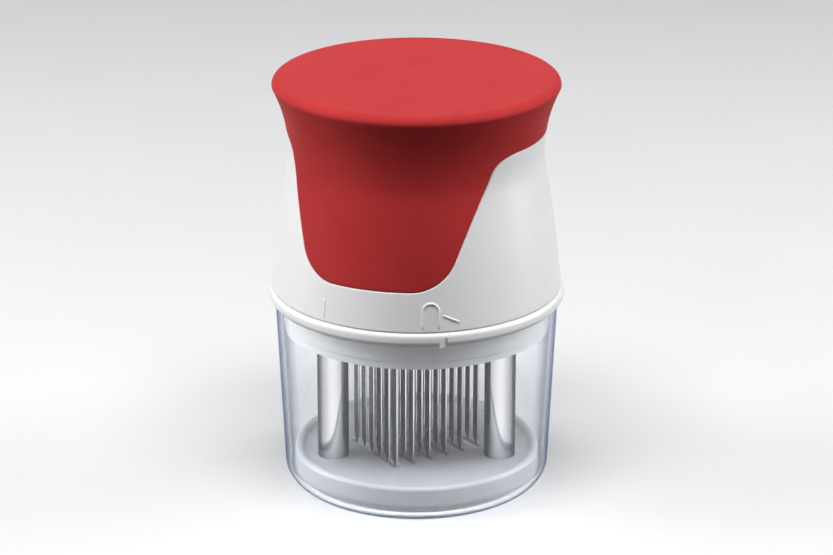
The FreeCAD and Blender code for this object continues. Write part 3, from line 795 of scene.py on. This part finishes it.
# =============================================================================================
# Blade unit
# =============================================================================================
def make_carrier():
    """Ring with bead, index nub, skirt and floor."""
    skirt_in, collar_in = SKIRT_R - SKIRT_STEP, COLLAR_R - COLLAR_WALL
    floor_top = CARRIER_LOW + CARRIER_FLOOR
    edge = CARRIER_EDGE
    profile = rounded([
        (AXIS_R, CARRIER_LOW), (skirt_in, CARRIER_LOW, edge), (skirt_in, SKIRT_STEP_Z, SHARP),
        (SKIRT_R, SKIRT_STEP_Z, edge), (SKIRT_R, CUP_TOP, SHARP),
        (BEAD_R - BEAD_SLOPE, CUP_TOP, BEAD_ROOT_ROUND),
        (BEAD_R, CUP_TOP + BEAD_SLOPE, BEAD_LOW_ROUND), (BEAD_R, SEAM, BEAD_TOP_ROUND),
        (COLLAR_R, SEAM, SHARP), (COLLAR_R, LUG_TOP, edge), (collar_in, LUG_TOP, edge),
        (collar_in, floor_top, edge), (AXIS_R, floor_top)])
    near_nub = {NUB_ANGLE + math.radians(d / NUB_STEPS)
                for d in range(NUB_FROM * NUB_STEPS, NUB_TO * NUB_STEPS + 1)}
    angles = sorted(set(full_turn(CARRIER_SIDES)) | near_nub)
    rows = []
    for r, z in profile:
        ring = []
        for a in angles:
            reach = r
            degrees = math.degrees(a - NUB_ANGLE)
            if r > SKIRT_R + NUB_START and z < CUP_TOP + NUB_HEIGHT:
                if abs(degrees) < NUB_HALF:
                    reach = max(r, BEAD_R - NUB_INSET)
                elif NUB_HALF <= degrees < NUB_NOTCH_END:
                    reach = min(r, BEAD_R - NUB_NOTCH)
            ring.append(on_circle(reach, a, z))
        rows.append(ring)
    verts, faces = grid(rows, (0, 0, CARRIER_LOW), (0, 0, floor_top))
    make_object("carrier_ring", verts, faces, "white_plastic", "blade_unit", ["blade_carrier"])


def make_blade(middle, header_low):
    """One blade with a ground point, from inside its bar down to its tip."""
    levels = [(header_low + BLADE_ROOT, 1.0, 1.0), (header_low - BLADE_NECK, 1.0, 1.0)]
    levels += [(BLADE_TIP + rise, wide, thick) for rise, wide, thick in POINT_SECTIONS]
    rows = []
    for z, wide, thick in levels:
        w, t = BLADE_W / 2 * wide, BLADE_T / 2 * thick
        c, ct = BLADE_CHAMFER * wide, t * BLADE_BEVEL
        ring = [(w, -t + ct), (w, t - ct), (w - c, t), (-w + c, t),
                (-w, t - ct), (-w, -t + ct), (-w + c, -t), (w - c, -t)]
        rows.append([tuple((middle + ALONG * a + ACROSS * b)[:2]) + (z,) for a, b in ring])
    return grid(rows, (middle.x, middle.y, levels[0][0]), (middle.x, middle.y, BLADE_TIP))


def make_blade_strip(number, centre):
    """One strip: its blades under a bar."""
    header_low = STRIP_TOP - HEADER
    parts = [block(centre, STRIP_HALF, BLADE_T / 2, header_low, STRIP_TOP)]
    parts += [make_blade(centre + ALONG * s, header_low) for s in blade_places()]
    verts, faces = joined(parts)
    obj = make_object("blade_row_%d" % number, verts, faces, "blade_steel", "blade_unit",
                      ["blade_strip_%d" % number])
    obj.data.shade_flat()


def make_spring(side, x):
    """Coil between the stop ring and the tower's cap."""
    wire = SPRING_WIRE / 2
    start = Vector((x, POST_Y, SPRING_LOW + wire))
    height = SPRING_HIGH - SPRING_LOW
    steps = TURN_STEPS * SPRING_TURNS
    rows = []
    for k in range(steps + 1):
        a = 2 * math.pi * SPRING_TURNS * k / steps
        out = Vector((math.cos(a), math.sin(a), 0))
        centre = start + out * (SPRING_R - wire) + UP * ((height - SPRING_WIRE) * k / steps)
        rows.append([centre + wire * (math.cos(b) * out + math.sin(b) * UP)
                     for b in full_turn(WIRE_SIDES)])
    first = sum(rows[0], Vector()) / WIRE_SIDES
    last = sum(rows[-1], Vector()) / WIRE_SIDES
    verts, faces = grid(rows, first, last)
    obj = make_object("spring_" + side, verts, faces, "spring_steel", "blade_unit",
                      ["return_spring_" + side])
    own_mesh(obj)


# =============================================================================================
# Guard unit
# =============================================================================================
def make_guard():
    """Shallow plate with a rounded rim, a slot for each strip, and a foot ring below."""
    floor_low = GUARD_LOW + GUARD_FOOT
    floor_top = floor_low + GUARD_FLOOR
    inner = GUARD_R - GUARD_WALL
    foot_inner = GUARD_R - GUARD_CORNER - GUARD_WALL
    profile = rounded([
        (AXIS_R, floor_low), (foot_inner, floor_low, GUARD_FOOT_ROOT),
        (foot_inner, GUARD_LOW, GUARD_FOOT_ROUND), (GUARD_R, GUARD_LOW, GUARD_CORNER),
        (GUARD_R, GUARD_HIGH, GUARD_LIP), (inner, GUARD_HIGH, GUARD_LIP),
        (inner, floor_top, GUARD_INNER_ROUND), (AXIS_R, floor_top)], steps=8)
    verts, faces = grid(lathe(profile, full_turn(GUARD_SIDES)), (0, 0, floor_low),
                        (0, 0, floor_top))
    obj = make_object("guard_dish", verts, faces, "guard_plastic", "guard_unit",
                      ["guard_plate"])
    cut(obj, [block(centre, STRIP_HALF + SLOT_END_GAP, BLADE_T / 2 + SLOT_SIDE_GAP,
                    floor_low - MM, floor_top + CUT_ABOVE, flare=SLOT_FLARE)
              for centre in strip_centres()])
    keep_flats(obj)


def make_post(side, x):
    axis_r = AXIS_R / 2
    profile = rounded([
        (axis_r, POST_LOW), (POST_R, POST_LOW, POST_ROUND),
        (POST_R, POST_SHOULDER, POST_ROUND), (POST_SPIGOT_R, POST_SHOULDER, SHARP),
        (POST_SPIGOT_R, POST_HIGH, POST_ROUND), (axis_r, POST_HIGH)], steps=4)
    verts, faces = grid(lathe(profile, full_turn(POST_SIDES)), (0, 0, POST_LOW),
                        (0, 0, POST_HIGH))
    verts = [(vx + x, vy + POST_Y, vz) for vx, vy, vz in verts]
    obj = make_object("post_" + side, verts, faces, "chrome", "guard_unit",
                      ["guide_post_" + side])
    keep_flats(obj)


# =============================================================================================
# Cup
# =============================================================================================
def make_cup():
    profile = rounded([
        (AXIS_R, 0.0), (CUP_BASE_R, 0.0, CUP_CORNER), (CUP_RIM_R, CUP_TOP, CUP_LIP),
        (CUP_RIM_R - CUP_WALL, CUP_TOP, CUP_LIP),
        (CUP_BASE_R - CUP_WALL, CUP_WALL, CUP_CORNER - CUP_WALL), (AXIS_R, CUP_WALL)], steps=12)
    verts, faces = grid(lathe(profile, full_turn(CUP_SIDES)), (0, 0, 0), (0, 0, CUP_WALL))
    obj = make_object("clear_cup", verts, faces, "clear_plastic", "cup", ["cup"])
    keep_flats(obj)


# =============================================================================================
# Stage: floor, backdrop, lights and camera
# =============================================================================================
def seen_directly(tree):
    """1 for camera, glossy and transmission rays that no matt surface has scattered, so that
    metal and glass show the floor that the camera sees."""
    path = tree.nodes.new("ShaderNodeLightPath")

    def math_node(operation, a, b):
        made = tree.nodes.new("ShaderNodeMath")
        made.operation = operation
        tree.links.new(a, made.inputs[0])
        if isinstance(b, float):
            made.inputs[1].default_value = b
        else:
            tree.links.new(b, made.inputs[1])
        return made.outputs["Value"]

    seen = math_node("MAXIMUM", path.outputs["Is Camera Ray"], path.outputs["Is Glossy Ray"])
    seen = math_node("MAXIMUM", seen, path.outputs["Is Transmission Ray"])
    fresh = math_node("LESS_THAN", path.outputs["Diffuse Depth"], 0.5)
    return math_node("MULTIPLY", seen, fresh)


def pick(tree, factor, otherwise, chosen):
    """otherwise (a colour) where factor is 0, and chosen (a socket) where it is 1."""
    mix = tree.nodes.new("ShaderNodeMix")
    mix.data_type = "RGBA"
    tree.links.new(factor, mix.inputs["Factor"])
    colour_a, colour_b, result = mix.inputs[6], mix.inputs[7], mix.outputs[2]
    colour_a.default_value = (*otherwise, 1)
    tree.links.new(chosen, colour_b)
    return result


def make_stage():
    """Pale floor that bends up into a backdrop, as one sheet."""
    points = [(FLOOR_FRONT, 0.0)]
    for k in range(BACKDROP_STEPS + 1):
        a = math.pi / 2 * k / BACKDROP_STEPS
        points.append((BACKDROP_Y - BACKDROP_BEND + BACKDROP_BEND * math.sin(a),
                       BACKDROP_BEND - BACKDROP_BEND * math.cos(a)))
    points.append((BACKDROP_Y, BACKDROP_HEIGHT))
    look = Look("floor_pale")
    pale = look.ramp(look.noise(3, detail=2), *FLOOR_PALE)
    colour = pick(look.tree, seen_directly(look.tree), FLOOR_BOUNCE, pale)
    look.link(colour, look.shader.inputs["Base Color"])
    look.roughness(look.noise(20, detail=2), 0.45, 0.55)
    verts = [(side * FLOOR_WIDTH / 2, y, z) for y, z in points for side in (-1, 1)]
    faces = [(2 * k, 2 * k + 1, 2 * k + 3, 2 * k + 2) for k in range(len(points) - 1)]
    mesh = bpy.data.meshes.new("floor")
    mesh.from_pydata(verts, [], faces)
    mesh.shade_smooth()
    mesh.materials.append(look.material)
    obj = bpy.data.objects.new("floor", mesh)
    bpy.context.scene.collection.objects.link(obj)


def make_world():
    """Dim room: dark in front of the tool, lighter to the sides and behind it."""
    world = bpy.data.worlds.new("studio")
    bpy.context.scene.world = world
    world.use_nodes = True
    tree = world.node_tree
    coords = tree.nodes.new("ShaderNodeTexCoord")
    parts = tree.nodes.new("ShaderNodeSeparateXYZ")
    tree.links.new(coords.outputs["Generated"], parts.inputs["Vector"])
    shade = tree.nodes.new("ShaderNodeMapRange")
    shade.inputs["From Min"].default_value = -1.0
    shade.inputs["From Max"].default_value = 1.0
    tree.links.new(parts.outputs["Y"], shade.inputs["Value"])
    ramp = tree.nodes.new("ShaderNodeValToRGB")
    ramp.color_ramp.elements.new(WORLD_TONES[1][0])
    for element, (place, tone) in zip(ramp.color_ramp.elements, WORLD_TONES):
        element.position = place
        element.color = (*tone, 1)
    tree.links.new(shade.outputs["Result"], ramp.inputs["Fac"])
    tree.links.new(ramp.outputs["Color"], tree.nodes["Background"].inputs["Color"])


def stand(name, data, place, direction):
    """Lamp or camera at a place, looking in a direction."""
    obj = bpy.data.objects.new(name, data)
    obj.location = place
    obj.rotation_mode = "QUATERNION"
    obj.rotation_quaternion = direction.to_track_quat("-Z", "Y")
    bpy.context.scene.collection.objects.link(obj)
    return obj


def make_lights():
    for name, place, aim, width, height, power in LIGHTS:
        light = bpy.data.lights.new(name, "AREA")
        light.shape = "RECTANGLE"
        light.size, light.size_y = width, height
        light.energy = power
        stand(name, light, place, Vector(aim) - Vector(place))


def make_camera():
    """Upright, in front of the tool and above it."""
    back = Vector((0, -math.cos(CAMERA_ELEVATION), math.sin(CAMERA_ELEVATION)))
    data = bpy.data.cameras.new("camera")
    data.sensor_width = CAMERA_SENSOR
    data.lens = CAMERA_LENS
    place = CAMERA_AIM + back * CAMERA_DISTANCE
    bpy.context.scene.camera = stand("camera", data, place, -back)


def main():
    make_camera()
    make_stage()
    make_world()
    make_lights()
    # The CAD nodes that no piece replaces show as they are
    for name, node in frame["nodes"].items():
        node.data.materials.clear()
        node.data.materials.append(MATERIALS[SLOTS[name]])
    make_cup()
    make_guard()
    for side, x in (("left", -POST_X), ("right", POST_X)):
        make_post(side, x)
        make_spring(side, x)
    for number, centre in enumerate(strip_centres(), 1):
        make_blade_strip(number, centre)
    make_carrier()
    make_housing()
    make_lock_marks()
    make_grip()
    bpy.context.scene.view_settings.view_transform = "Standard"


main()
